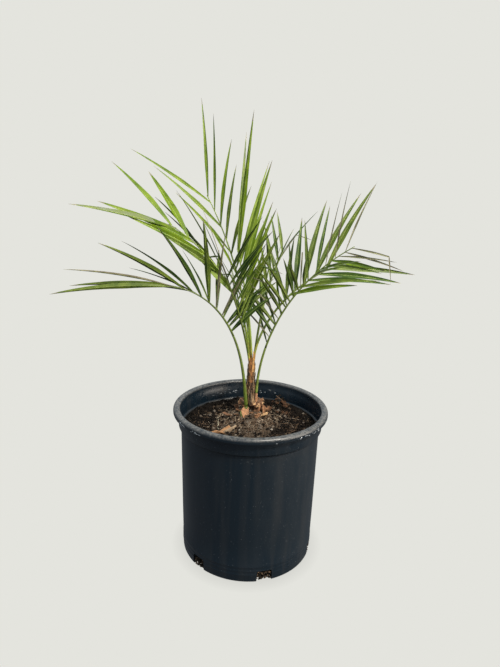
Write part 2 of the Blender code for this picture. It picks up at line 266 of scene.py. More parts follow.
class Graph:
    """The nodes of one material or of the world."""

    def __init__(self, owner):
        self.owner = owner
        owner.use_nodes = True
        self.tree = owner.node_tree
        self.shader = self.tree.nodes.get("Principled BSDF") or self.tree.nodes["Background"]

    def put(self, socket, value):
        if isinstance(value, Wire):
            self.tree.links.new(value.socket, socket)
        else:
            socket.default_value = value

    def add(self, kind, settings, inputs, output=0):
        """A node of this type with its settings and its inputs, by name or in order. Gives one output."""
        node = self.tree.nodes.new(kind)
        for key, value in settings.items():
            setattr(node, key, value)
        named = inputs.items() if isinstance(inputs, dict) else enumerate(inputs)
        for key, value in named:
            self.put(node.inputs[key], value)
        return Wire(self, node.outputs[output])

    def place(self):
        return self.add("ShaderNodeTexCoord", {}, {}, "Object")

    def height(self):
        return self.add("ShaderNodeSeparateXYZ", {}, [self.place()], "Z")

    def noise(self, scale, detail=4.0, roughness=0.6, stretch=(1, 1, 1)):
        where = self.add("ShaderNodeMapping", {}, {"Vector": self.place(), "Scale": stretch})
        settings = {"Vector": where, "Scale": scale, "Detail": detail, "Roughness": roughness}
        return self.add("ShaderNodeTexNoise", {}, settings, "Fac")

    def blend(self, share, first, second):
        """A colour between two colours."""
        node = self.tree.nodes.new("ShaderNodeMix")
        node.data_type = "RGBA"
        self.put(node.inputs[0], share)
        for socket, value in ((node.inputs[6], first), (node.inputs[7], second)):
            self.put(socket, value if isinstance(value, Wire) else (*value, 1))
        return Wire(self, node.outputs[2])

    def bump(self, height, strength, distance=0.001):
        settings = {"Strength": strength, "Distance": distance, "Height": height}
        self.put(self.shader.inputs["Normal"], self.add("ShaderNodeBump", {}, settings))

    def set(self, **values):
        for name, value in values.items():
            self.put(self.shader.inputs[name.replace("_", " ")], value)
        return self.owner


def mottled(name, colour, roughness, scale=160, relief=0.4):
    """A natural surface: this colour broken up by darker and paler patches and fine grain."""
    graph = Graph(bpy.data.materials.new(name))
    graph.put(graph.shader.inputs["Specular IOR Level"], DULL if roughness >= 0.9 else GLOSS)
    patch = graph.noise(scale, 4, 0.65).clamp(0.34, 0.66)
    grain = graph.noise(scale * 6, 3, 0.6)
    shaded = tuple(value * 0.55 for value in colour)
    lit = tuple(min(value * 1.35, 1) for value in colour)
    colour = graph.blend(patch * 0.7 + grain.clamp(0.3, 0.7) * 0.3, shaded, lit)
    graph.bump(grain, relief, 0.0004)
    return graph.set(Base_Color=colour, Roughness=patch * 0.10 + (roughness - 0.05))


def pot_surface():
    """Black moulded plastic, glossy with a little dust and pale specks that are partly painted glints, with
    its rolled lip worn grey.
    """
    graph = Graph(bpy.data.materials.new("black plastic"))
    place = graph.add("ShaderNodeVectorMath", {"operation": "MULTIPLY"}, [graph.place(), (1, 1, 0)])
    radius = graph.add("ShaderNodeVectorMath", {"operation": "LENGTH"}, [place], "Value")
    outside = radius.clamp(COLLAR_RADIUS, LIP_INNER_RADIUS + 0.001)
    lower = 1 - graph.height().clamp(COLLAR_FOOT - 0.002, COLLAR_FOOT)
    dust = graph.noise(9, 6, 0.65, (1, 1, 0.25)).clamp(0.48, 0.78) * (outside + lower * (1 - outside))
    streaks = graph.noise(60, 3, 0.5, (1, 1, 0.06)).clamp(0.52, 0.82)
    fine = graph.noise(260, 3, 0.7)
    # Pale specks: part dust, part painted glints that stand in for sun sparkles on the glossy plastic.
    specks = graph.noise(620, 1, 0.4).clamp(0.74, 0.78)
    upper = graph.height().clamp(COLLAR_FOOT - 0.002, COLLAR_FOOT + 0.004)
    wet = graph.noise(75, 3, 0.6).clamp(0.54, 0.62) * upper
    worn = graph.height().clamp(POT_HEIGHT - 0.005, POT_HEIGHT - 0.0005) * fine.clamp(0.30, 0.65)
    body = graph.blend(dust * 0.5, (0.0034, 0.0080, 0.0130), (0.0150, 0.0175, 0.0200))
    body = graph.blend(streaks * 0.35, body, (0.030, 0.029, 0.028))
    body = graph.blend(worn * 0.9, body, (0.110, 0.105, 0.096))
    # Painted glints: the specks lighten the plastic towards pale grey.
    colour = graph.blend(specks * 0.35, body, (0.22, 0.23, 0.24))
    # Darkens the inner wall between the soil and the step nearly to black, and makes it rougher there.
    soil_line_dark = (1 - radius.clamp(BODY_TOP_RADIUS - WALL + 0.0004, BODY_TOP_RADIUS + 0.0002)) * fine.clamp(0.2, 0.5)
    soil_line_dark = soil_line_dark * graph.height().clamp(COLLAR_FOOT - 0.014, COLLAR_FOOT - 0.008)
    colour = graph.blend(soil_line_dark, colour, (0.006, 0.005, 0.004))
    graph.bump(fine * 0.4 + graph.noise(40) + wet * graph.noise(180) * 2, 0.10, 0.0006)
    return graph.set(Base_Color=colour, Roughness=dust * 0.20 + worn * 0.15 + 0.30 - wet * 0.12 + soil_line_dark * 0.15)


def leaf_surface(name, shaded, lit):
    """A leathery leaflet, mottled along its length, with a waxy sheen."""
    graph = Graph(bpy.data.materials.new(name))
    mottle = graph.noise(42, 2, 0.5).clamp(0.36, 0.64)
    fine = graph.noise(700, 2, 0.5)
    colour = graph.blend(mottle * 0.92 + fine.clamp(0.3, 0.7) * 0.08, shaded, lit)
    graph.bump(fine, 0.05, 0.0002)
    graph.put(graph.shader.inputs["Specular IOR Level"], 0.28)
    return graph.set(Base_Color=colour, Roughness=mottle * 0.12 + 0.40)


def soil_surface():
    """Old potting mix: grey-brown with darker damp patches and pale bits."""
    graph = Graph(bpy.data.materials.new("potting mix"))
    patch = graph.noise(28, 5, 0.6).clamp(0.38, 0.62)
    grain = graph.noise(420, 4, 0.7)
    specks = graph.noise(900, 2, 0.5).clamp(0.62, 0.72)
    centre = {"operation": "DISTANCE"}
    away = graph.add("ShaderNodeVectorMath", centre, [graph.place(), ROOT_BALL_CENTRE], "Value")
    outside = (away + patch * 0.014).clamp(ROOT_BALL_REACH - 0.008, ROOT_BALL_REACH + 0.012)
    root_ball = graph.blend(patch, (0.024, 0.017, 0.011), (0.100, 0.075, 0.054))
    damp = graph.blend(patch, (0.0018, 0.0016, 0.0015), (0.0065, 0.0050, 0.0040))
    colour = graph.blend(outside, root_ball, damp)
    colour = graph.blend(grain.clamp(0.45, 0.85) * (0.40 - 0.22 * outside), colour, (0.050, 0.034, 0.020))
    colour = graph.blend(specks * (0.50 - 0.35 * outside), colour, (0.32, 0.27, 0.21))
    graph.bump(grain + graph.noise(1400, 3, 0.7) * 0.6, 1.0, 0.0020)
    graph.put(graph.shader.inputs["Specular IOR Level"], DULL)
    return graph.set(Base_Color=colour, Roughness=0.95)


def fibre_surface():
    """The brown net of old leaf bases round the stem."""
    graph = Graph(bpy.data.materials.new("trunk fibre"))
    strand = graph.noise(300, 4, 0.7, (1, 1, 0.12))
    patch = graph.noise(70, 3, 0.6, (1, 1, 0.5)).clamp(0.4, 0.65)
    colour = graph.blend(patch, (0.022, 0.012, 0.007), (0.105, 0.052, 0.024))
    colour = graph.blend(strand.clamp(0.4, 0.7) * 0.55, colour, (0.21, 0.13, 0.068))
    graph.bump(strand, 0.9, 0.0010)
    return graph.set(Base_Color=colour, Roughness=0.85)


def mesh_of(name, points, faces, tones=None, smooth=True):
    mesh = bpy.data.meshes.new(name)
    mesh.from_pydata([tuple(p) for p in points], [], faces)
    mesh.update()
    if tones:
        for face, tone in zip(mesh.polygons, tones):
            face.material_index = tone
    if smooth:
        mesh.shade_smooth()
    return mesh


def show(name, mesh, surfaces, node=None):
    """A piece of the plant that rides with it, and stands for a node of the frame."""
    thing = bpy.data.objects.new(name, mesh)
    bpy.context.scene.collection.objects.link(thing)
    for surface in surfaces:
        mesh.materials.append(surface)
    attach(thing, "root")
    if node:
        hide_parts(node)
    return thing


class Bundle:
    """Points and faces of many small things that become one mesh, each with its own tone."""

    def __init__(self):
        self.points, self.faces, self.tones = [], [], []

    def add(self, points, faces, tones):
        start = len(self.points)
        self.points += points
        self.faces += [tuple(start + k for k in face) for face in faces]
        self.tones += [tones] * len(faces) if isinstance(tones, int) else tones

    def mesh(self, name, smooth=True):
        return mesh_of(name, self.points, self.faces, self.tones, smooth)


def tube(line, radii, sides, flat=1.0):
    """Points and faces of a tapered tube along a line, closed at both ends."""
    points, faces = [], []
    last = len(line) - 1
    side_way = Vector((0.31, 0.17, 0.05))
    for i, centre in enumerate(line):
        along = (line[min(i + 1, last)] - line[max(i - 1, 0)]).normalized()
        across = along.cross(side_way).normalized()
        other = along.cross(across)
        for k in range(sides):
            turn = 2 * pi * k / sides
            points.append(centre + radii[i] * (cos(turn) * across * flat + sin(turn) * other))
    for i in range(last):
        for k in range(sides):
            a, b = i * sides + k, i * sides + (k + 1) % sides
            faces.append((a, b, b + sides, a + sides))
    faces.append(tuple(reversed(range(sides))))
    faces.append(tuple(range(last * sides, (last + 1) * sides)))
    return points, faces


def turned(outline, sides):
    """The solid that a closed outline of (radius, height) makes about the Z axis."""
    shape = bmesh.new()
    corners = [shape.verts.new((radius, 0, height)) for radius, height in outline]
    for first, second in zip(corners, corners[1:]):
        shape.edges.new((first, second))
    bmesh.ops.spin(
        shape, geom=shape.verts[:] + shape.edges[:], cent=(0, 0, 0), axis=(0, 0, 1),
        angle=2 * pi, steps=sides, use_merge=False, use_duplicate=False,
    )
    bmesh.ops.remove_doubles(shape, verts=shape.verts[:], dist=1e-6)
    bmesh.ops.recalc_face_normals(shape, faces=shape.faces[:])
    mesh = bpy.data.meshes.new("turned")
    shape.to_mesh(mesh)
    shape.free()
    return mesh


def arc(centre, radius, first, last, steps):
    """Points of a round stretch of an outline."""
    turns = [radians(first + (last - first) * i / steps) for i in range(steps + 1)]
    return [(centre[0] + radius * cos(turn), centre[1] + radius * sin(turn)) for turn in turns]


def pot():
    """The moulded pot: straight sides, a collar with a step, a rolled lip and drain openings at the foot."""
    lip_foot = POT_HEIGHT - LIP_DROP
    outer = COLLAR_RADIUS + WALL
    roll = 0.0045
    outline = [(0, 0.0006), (BASE_RADIUS - 0.012, 0.0006), (BASE_RADIUS - 0.009, 0.0)]
    outline += arc((BASE_RADIUS - 0.004, 0.004), 0.004, -90, 0, 5)
    for height in MOULDED_RINGS:
        outline += [(BASE_RADIUS + 0.0003, height - 0.0011), (BASE_RADIUS + 0.0007, height)]
        outline += [(BASE_RADIUS + 0.0003, height + 0.0011)]
    outline += [(BASE_RADIUS + 0.0012, 0.070), (BASE_RADIUS + 0.0018, 0.110), (BODY_TOP_RADIUS, COLLAR_FOOT)]
    outline += [(BODY_TOP_RADIUS + 0.0012, COLLAR_FOOT + 0.0003), (outer - 0.0006, COLLAR_FOOT + WALL)]
    outline += [(outer, COLLAR_FOOT + WALL + 0.001), (outer, lip_foot - 0.0004), (outer + 0.0006, lip_foot)]
    outline += [(LIP_RADIUS - 0.0018, lip_foot), (LIP_RADIUS - 0.0004, lip_foot + 0.0006)]
    outline += [(LIP_RADIUS, lip_foot + 0.002)]
    outline += arc((LIP_RADIUS - roll, POT_HEIGHT - roll), roll, 0, 90, 8)
    outline += [(LIP_INNER_RADIUS + 0.0035, POT_HEIGHT - 0.0002)]
    outline += arc((LIP_INNER_RADIUS + 0.003, POT_HEIGHT - 0.0035), 0.003, 90, 180, 6)
    outline += [(COLLAR_RADIUS + 0.0002, POT_HEIGHT - 0.0135), (COLLAR_RADIUS - 0.0004, POT_HEIGHT - 0.0145)]
    outline += [(COLLAR_RADIUS - 0.0006, COLLAR_FOOT + 0.0024)]
    outline += [(BODY_TOP_RADIUS - WALL + 0.0006, COLLAR_FOOT + 0.0014)]
    outline += [(BODY_TOP_RADIUS - WALL, COLLAR_FOOT + 0.0005)]
    outline += [(BODY_TOP_RADIUS - WALL - 0.0004, 0.200), (BASE_RADIUS - WALL, POT_FLOOR + 0.003)]
    outline += [(BASE_RADIUS - WALL - 0.003, POT_FLOOR), (0, POT_FLOOR)]
    body = bpy.data.objects.new("pot_body", turned(outline, POT_SIDES))
    bpy.context.scene.collection.objects.link(body)
    group = bpy.data.collections.new("drains")
    for i in range(DRAIN_COUNT):
        turn = radians(DRAIN_FIRST + 360 * i / DRAIN_COUNT)
        shape = bmesh.new()
        bmesh.ops.create_cube(shape, size=1)
        upright = [edge for edge in shape.edges if abs(edge.verts[0].co.x - edge.verts[1].co.x) > 0.5]
        top = [edge for edge in upright if edge.verts[0].co.z > 0]
        size = Matrix.Diagonal((2 * DRAIN_DEPTH, DRAIN_WIDTH, 2 * DRAIN_HEIGHT, 1))
        bmesh.ops.transform(shape, matrix=size, verts=shape.verts)
        bmesh.ops.bevel(shape, geom=top, offset=0.005, segments=5, profile=0.5, affect="EDGES")
        place = Matrix.Translation((BASE_RADIUS * cos(turn), BASE_RADIUS * sin(turn), 0))
        spin = place @ Matrix.Rotation(turn, 4, "Z")
        bmesh.ops.transform(shape, matrix=spin, verts=shape.verts)
        mesh = bpy.data.meshes.new("drain")
        shape.to_mesh(mesh)
        shape.free()
        group.objects.link(bpy.data.objects.new("drain", mesh))
    cut = body.modifiers.new("drains", "BOOLEAN")
    cut.operation = "DIFFERENCE"
    cut.operand_type = "COLLECTION"
    cut.collection = group
    cut.solver = "EXACT"
    bpy.context.view_layer.update()
    mesh = bpy.data.meshes.new_from_object(body.evaluated_get(bpy.context.evaluated_depsgraph_get()))
    bpy.data.objects.remove(body, do_unlink=True)
    for drain in list(group.objects):
        bpy.data.objects.remove(drain, do_unlink=True)
    bpy.data.collections.remove(group)
    mesh.shade_smooth()
    mesh.set_sharp_from_angle(angle=radians(42))
    show("pot_fine", mesh, [pot_surface()], "pot")
    wet_spots(random.Random(SEED + 2))


def wet_spots(dice):
    """Low drops of water that catch the light, on the collar's inner wall and along the lip's outer edge;
    their pale grey colour is partly a painted glint.
    """
    wet, sides = Bundle(), 10
    for first, last, count, radius, low, high, facing in WET_STRETCHES:
        for _ in range(count):
            turn = dice.uniform(first, last)
            outward, across = direction(turn, 0), direction(turn + 90, 0)
            centre = outward * radius + UP * dice.uniform(low, high)
            long, tall = dice.uniform(0.0008, 0.0034), dice.uniform(0.0005, 0.0012)
            points, faces = [], []
            for ring, height in ((1.0, -0.0003), (0.75, 0.0003), (0.4, 0.0006)):
                for k in range(sides):
                    angle = 2 * pi * k / sides
                    flat = across * long * cos(angle) + UP * tall * sin(angle)
                    points.append(centre + ring * flat + outward * facing * height)
            for ring in range(2):
                for k in range(sides):
                    a, b = ring * sides + k, ring * sides + (k + 1) % sides
                    faces.append((a, b, b + sides, a + sides))
            faces.append(tuple(range(2 * sides, 3 * sides)))
            wet.add(points, faces, 0)
    # Painted glint: the drops get a pale grey colour, and their shape also catches the lamps.
    show("pot_drops", wet.mesh("pot_drops"), [mottled("water film with painted glint", (0.11, 0.12, 0.13), 0.12)], "pot")


def ease(x):
    """1 at 0, falling smoothly to 0 at 1 and staying there."""
    x = min(max(x, 0), 1)
    return 1 - x * x * (3 - 2 * x)


def soil_height(x, y):
    """The lumpy top of the mix, mounded round the stem."""
    here = Vector((x, y, 0))
    rise = MOUND_RISE * ease((here - MOUND_CENTRE).length / MOUND_RADIUS)
    rise += CLOD_RISE * ease((here - CLOD_CENTRE).length / CLOD_RADIUS)
    rise += RIM_RISE * (1 - ease((here.length - RIM_START) / RIM_BREADTH))
    for pace, height in ((60, 0.0030), (150, 0.0022), (420, 0.0011)):
        rise += height * noise.noise(here * pace)
    return SOIL_LEVEL + rise


def soil():
    """The mix: a fine lumpy top inside the wall, with its sides and floor, under crumbs and fibres."""
    edge = BODY_TOP_RADIUS - WALL - 0.0009
    rings = int(edge / SOIL_SPACING)
    sides = 220
    points, faces = [Vector((0, 0, soil_height(0, 0)))], []
    for ring in range(1, rings + 1):
        radius = edge * ring / rings
        for k in range(sides):
            turn = 2 * pi * k / sides
            x, y = radius * cos(turn), radius * sin(turn)
            points.append(Vector((x, y, soil_height(x, y))))
    foot = BASE_RADIUS - WALL - 0.002
    for radius, height in ((edge - 0.002, 0.02), (foot, 0.006), (foot - 0.0035, 0.0036)):
        for k in range(sides):
            turn = 2 * pi * k / sides
            points.append(Vector((radius * cos(turn), radius * sin(turn), height)))
    for k in range(sides):
        faces.append((0, 1 + k, 1 + (k + 1) % sides))
    for ring in range(rings + 2):
        for k in range(sides):
            a, b = 1 + ring * sides + k, 1 + ring * sides + (k + 1) % sides
            faces.append((a, a + sides, b + sides, b))
    faces.append(tuple(reversed(range(len(points) - sides, len(points)))))
    show("soil_top", mesh_of("soil_top", points, faces), [soil_surface()], "soil")
    dice = random.Random(SEED)
    crumbs, fibres = Bundle(), Bundle()
    for _ in range(CRUMB_COUNT):
        spot = loose_spot(dice, edge - 0.004)
        size = 0.0007 + 0.0034 * dice.random() ** 4
        points, faces = crumb(dice, spot, size)
        in_ball = (spot - ROOT_BALL_CENTRE).xy.length < ROOT_BALL_REACH
        weights = (56, 28, 15, 1) if in_ball else (88, 8, 4, 0)
        crumbs.add(points, faces, dice.choices((0, 1, 2, 3), weights)[0])
    for _ in range(FIBRE_COUNT):
        near_stem = dice.random() < 0.75
        spot = loose_spot(dice, 0.055 if near_stem else edge - 0.012, TRUNK_CENTRE if near_stem else None)
        points, faces = fibre(dice, spot)
        fibres.add(points, faces, dice.choices((0, 1, 2), (6, 3, 1) if near_stem else (9, 1, 0))[0])
    tones = [
        mottled("crumb dark", (0.008, 0.006, 0.0045), 0.95),
        mottled("crumb brown", (0.052, 0.038, 0.026), 0.95),
        mottled("crumb grey", (0.120, 0.098, 0.078), 0.95), mottled("grit pale", (0.22, 0.19, 0.155), 0.9),
    ]
    show("soil_crumbs", crumbs.mesh("soil_crumbs", smooth=False), tones, "soil")
    tones = [
        mottled("root brown", (0.090, 0.058, 0.036), 0.9), mottled("root grey", (0.190, 0.150, 0.112), 0.9),
        mottled("root pale", (0.34, 0.27, 0.19), 0.9),
    ]
    show("soil_fibres", fibres.mesh("soil_fibres"), tones, "soil")
    litter(dice)
    clods(dice)
    drain_fill(dice)


def loose_spot(dice, reach, centre=None):
    """A place on the mix, inside the pot."""
    while True:
        turn, radius = dice.uniform(0, 2 * pi), reach * sqrt(dice.random())
        spot = Vector((radius * cos(turn), radius * sin(turn), 0)) + (centre or Vector((0, 0, 0)))
        if spot.length < BODY_TOP_RADIUS - WALL - 0.004:
            return Vector((spot.x, spot.y, soil_height(spot.x, spot.y)))


def crumb(dice, spot, size):
    """A lump with eight uneven faces."""
    points = []
    for x, y, z in ((1, 0, 0), (0, 1, 0), (-1, 0, 0), (0, -1, 0), (0, 0, 1), (0, 0, -1)):
        stretch = size * dice.uniform(0.55, 1.25)
        points.append(spot + Vector((x, y, z * 0.8)) * stretch + Vector((0, 0, size * 0.35)))
    faces = [(k, (k + 1) % 4, 4) for k in range(4)] + [((k + 1) % 4, k, 5) for k in range(4)]
    return points, faces


def fibre(dice, spot):
    """A thin root or thread that lies curled on the mix."""
    heading, steps = dice.uniform(0, 360), 6
    size, curl = dice.uniform(0.006, 0.022), dice.uniform(-50, 50)
    line, here = [], spot.copy()
    for _ in range(steps + 1):
        floor_height = soil_height(here.x, here.y)
        line.append(Vector((here.x, here.y, floor_height + 0.0004 + dice.uniform(0, 0.0012))))
        here += direction(heading, 0) * size / steps
        heading += curl / steps + dice.uniform(-18, 18)
    radius = dice.uniform(0.00018, 0.00042)
    return tube(line, [radius] * (steps + 1), 4)


def litter(dice):
    """What lies on the mix: curled brown and tan scales of old leaf base, a brown twig and a pale thread."""
    bits = Bundle()
    scale_line = [Vector((-0.066, -0.038, 0)), Vector((-0.054, -0.034, 0)), Vector((-0.043, -0.025, 0)),
                  Vector((-0.033, -0.017, 0))]
    tan_line = [Vector((-0.044, -0.030, 0)), Vector((-0.033, -0.024, 0)), Vector((-0.022, -0.020, 0))]
    for spot in scale_line + tan_line:
        spot.z = soil_height(spot.x, spot.y) + 0.0026
    bits.add(*tube(scale_line, [0.0020, 0.0056, 0.0060, 0.0026], 10, 0.35), 0)
    bits.add(*tube(tan_line, [0.0024, 0.0058, 0.0018], 10, 0.30), 2)
    twig = [Vector((0.046, 0.088, SOIL_LEVEL + 0.022)), Vector((0.055, 0.092, SOIL_LEVEL + 0.013)),
            Vector((0.062, 0.090, SOIL_LEVEL + 0.006))]
    bits.add(*tube(twig, [0.0008, 0.0011, 0.0009], 6), 3)
    straw = [Vector((-0.0535, 0.030, 0)), Vector((-0.0540, 0.005, 0)), Vector((-0.0520, -0.018, 0))]
    for spot in straw:
        spot.z = soil_height(spot.x, spot.y) + 0.002
    bits.add(*tube(straw, [0.0004, 0.0005, 0.0004], 6), 1)
    tones = [
        mottled("old scale", (0.25, 0.130, 0.058), 0.8),
        mottled("pale straw", (0.46, 0.40, 0.28), 0.8),
        mottled("tan scale", (0.27, 0.195, 0.125), 0.85),
        mottled("brown twig", (0.085, 0.052, 0.030), 0.85),
    ]
    show("soil_litter", bits.mesh("soil_litter"), tones, "soil")


def clods(dice):
    """Coarse dark lumps: a heap at the back right and others strewn near the wall."""
    lumps = Bundle()
    for i in range(CLOD_COUNT):
        heaped = i < CLOD_COUNT * 0.4
        reach, centre = (CLOD_RADIUS, CLOD_CENTRE) if heaped else (BODY_TOP_RADIUS - 0.008, None)
        spot = loose_spot(dice, reach, centre)
        if heaped:
            spot.z += CLOD_PILE * dice.random() * ease((spot - CLOD_CENTRE).xy.length / CLOD_RADIUS)
        if heaped or (spot - ROOT_BALL_CENTRE).xy.length > ROOT_BALL_REACH:
            weights = (5, 2, 4) if heaped else (8, 2, 0)
            lumps.add(*crumb(dice, spot, dice.uniform(0.0022, 0.0046)), dice.choices((0, 1, 2), weights)[0])
    tones = [
        mottled("clod dark", (0.007, 0.0055, 0.004), 0.95),
        mottled("clod brown", (0.046, 0.032, 0.022), 0.95),
        mottled("clod red", (0.058, 0.030, 0.017), 0.9),
    ]
    show("soil_clods", lumps.mesh("soil_clods", smooth=False), tones, "soil")


def drain_fill(dice):
    """Crumbs of the mix and root ends that show in each drain opening."""
    crumbs, reach = Bundle(), BASE_RADIUS - WALL - 0.0015
    for i in range(DRAIN_COUNT):
        for _ in range(150):
            turn = DRAIN_FIRST + 360 * i / DRAIN_COUNT + dice.uniform(-6.5, 6.5)
            spot = direction(turn, 0) * (reach + dice.uniform(-0.001, 0.0025))
            spot.z = dice.uniform(0.0018, DRAIN_HEIGHT)
            crumbs.add(*crumb(dice, spot, dice.uniform(0.0010, 0.0028)), dice.choices((0, 1), (3, 2))[0])
    tones = [
        mottled("drain mix", (0.010, 0.008, 0.006), 0.95),
        mottled("drain root", (0.055, 0.038, 0.025), 0.9),
    ]
    show("soil_drains", crumbs.mesh("soil_drains", smooth=False), tones, "soil")


def direction(heading, lift):
    """The unit vector that points this way round from +X and this far above level."""
    turn, climb = radians(heading), radians(lift)
    return Vector((cos(turn) * cos(climb), sin(turn) * cos(climb), sin(climb)))


def between(pair, share):
    """The value at this share of the way through a pair, or the one value that stays."""
    if isinstance(pair, (int, float)):
        return pair
    return pair[0] + (pair[1] - pair[0]) * share


def stem_radius(height):
    """The trunk's radius at this height above its foot."""
    for (low, wide), (high, slim) in zip(TRUNK_TAPER, TRUNK_TAPER[1:]):
        if height <= high:
            return between((wide, slim), (height - low) / (high - low))
    return TRUNK_TAPER[-1][1]


def trunk():
    """The fibrous stem: a ribbed core, old sheaths, loose strands and cut leaf bases at the foot."""
    steps, sides = 60, 72
    points, faces = [], []
    for i in range(steps + 1):
        height = TRUNK_TAPER[-1][0] * i / steps
        for k in range(sides):
            turn = 2 * pi * k / sides
            way = direction(degrees_of(turn), 0)
            rough = noise.noise(Vector((cos(turn) * 3, sin(turn) * 3, height * 45)))
            ribs = 0.00045 * sin(turn * 13 + 5 * noise.noise(Vector((0, 0, height * 60))))
            radius = stem_radius(height) + 0.0010 * rough + ribs
            points.append(TRUNK_CENTRE + way * radius + UP * (TRUNK_FOOT + height))
    for i in range(steps):
        for k in range(sides):
            a, b = i * sides + k, i * sides + (k + 1) % sides
            faces.append((a, b, b + sides, a + sides))
    faces.append(tuple(range(steps * sides, (steps + 1) * sides)))
    show("trunk_core", mesh_of("trunk_core", points, faces), [fibre_surface()], "trunk")
    dice = random.Random(SEED + 1)
    strands = Bundle()
    for _ in range(STRAND_COUNT):
        heading, low = dice.uniform(0, 360), dice.uniform(0.002, 0.065)
        reach, loose = dice.uniform(0.008, 0.028), dice.uniform(0, 0.0022)
        line = []
        for i in range(5):
            height = min(low + reach * i / 4, 0.084)
            radius = stem_radius(height) + 0.0007 + loose * (i / 4) ** 2
            heading += dice.uniform(-4, 4)
            line.append(TRUNK_CENTRE + direction(heading, 0) * radius + UP * (TRUNK_FOOT + height))
        width = dice.uniform(0.0002, 0.0006)
        strands.add(*tube(line, [width] * 4 + [width * 0.4], 5), dice.choices((0, 1, 2), (5, 3, 2))[0])
    tones = [
        mottled("strand dark", (0.028, 0.015, 0.009), 0.85),
        mottled("strand tan", (0.20, 0.110, 0.050), 0.8),
        mottled("strand pale", (0.34, 0.25, 0.145), 0.85),
    ]
    show("trunk_strands", strands.mesh("trunk_strands"), tones, "trunk")
    boots(dice)
    sheaths()


def degrees_of(turn):
    return turn * 180 / pi


def boots(dice):
    """Stubs of old leaf bases standing round the foot, brown outside with pale cut ends."""
    stubs = Bundle()
    for turn in BOOT_HEADINGS:
        inner = TRUNK_CENTRE + UP * (TRUNK_FOOT + 0.005)
        reach = BOOT_REACH * dice.uniform(0.78, 1.0)
        outer = inner + direction(turn, 0) * reach + UP * BOOT_RISE * dice.uniform(0.8, 1.5)
        line = [inner.lerp(outer, share) for share in (0.25, 0.5, 0.75, 0.93, 1.0)]
        widths = [0.0054, 0.0053, 0.0049, 0.0042, 0.0030]
        points, faces = tube(line, widths, 12, 0.6)
        ragged = [p + Vector([dice.uniform(-0.0010, 0.0010) for _ in range(3)]) for p in points]
        tones = [0] * 24 + [1] * (len(faces) - 25) + [2]
        stubs.add(ragged, faces, tones[:len(faces)])
    for _ in range(SCALE_COUNT):
        turn, radius = dice.uniform(-175, 40), dice.uniform(0.012, 0.034)
        spot = TRUNK_CENTRE + direction(turn, 0) * radius
        spot.z = soil_height(spot.x, spot.y) - 0.002
        way = direction(turn + dice.uniform(-50, 50), dice.uniform(25, 80))
        top = spot + way * dice.uniform(0.009, 0.019)
        points, faces = torn_scale(dice, spot, top, dice.uniform(0.0020, 0.0062))
        stubs.add(points, faces, dice.choices((1, 2, 3), (6, 1, 3))[0])
    for x, y, heading, lift, length, half_width, tone in MAIN_SCALES:
        spot = Vector((x, y, soil_height(x, y) - 0.002))
        points, faces = torn_scale(dice, spot, spot + direction(heading, lift) * length, half_width)
        stubs.add(points, faces, tone)
    for frond_plan in FRONDS.values():
        if "foot" in frond_plan:
            heading = between(frond_plan["heading"], 0)
            way = direction(heading, frond_plan["lift"][0])
            top = foot_of(frond_plan)
            bottom = top - way * (top.z - TRUNK_FOOT - 0.001)
            widths = [frond_plan["foot_radius"] * swelling for swelling in (1.5, 1.25, 1.05)]
            points, faces = tube([bottom, bottom.lerp(top, 0.6), top], widths, 14)
            stubs.add(points, faces, 4 if frond_plan["tone"] == "dark" else 3)
    surfaces = [
        fibre_surface(),
        mottled("old base", (0.135, 0.064, 0.030), 0.85, 330, 0.9),
        mottled("cut end", (0.40, 0.245, 0.120), 0.8),
        mottled("torn base", (0.290, 0.145, 0.070), 0.85, 330, 0.9),
        mottled("green base", (0.110, 0.125, 0.028), 0.6),
    ]
    show("trunk_boots", stubs.mesh("trunk_boots", smooth=False), surfaces, "trunk")


def torn_scale(dice, foot, top, half_width):
    """A thin woody scale, cupped across and torn along its upper edge: its points and faces."""
    along = top - foot
    across = along.cross(UP).normalized()
    outward = across.cross(along).normalized()
    rows, columns = 5, 6
    wide = columns + 1
    front = []
    for i in range(rows + 1):
        for k in range(wide):
            place = 2 * k / columns - 1
            reach = i / rows + (dice.uniform(-0.18, 0.18) if i == rows else 0)
            side = half_width * (0.7 + 0.4 * i / rows) * place * dice.uniform(0.85, 1.15)
            bow = half_width * SCALE_CUP * place * place + dice.uniform(-0.0004, 0.0004)
            front.append(foot + along * reach + across * side + outward * bow)
    back = [point - outward * SCALE_THICKNESS for point in front]
    size = len(front)
    faces = []
    for i in range(rows):
        for k in range(columns):
            a = i * wide + k
            faces.append((a, a + 1, a + wide + 1, a + wide))
            faces.append((a + size, a + size + wide, a + size + wide + 1, a + size + 1))
    rim = list(range(wide)) + [wide * (i + 1) + columns for i in range(rows)]
    rim += [wide * rows + k for k in reversed(range(columns))] + [wide * i for i in reversed(range(1, rows))]
    faces += [(b, a, a + size, b + size) for a, b in zip(rim, rim[1:] + rim[:1])]
    return front + back, faces


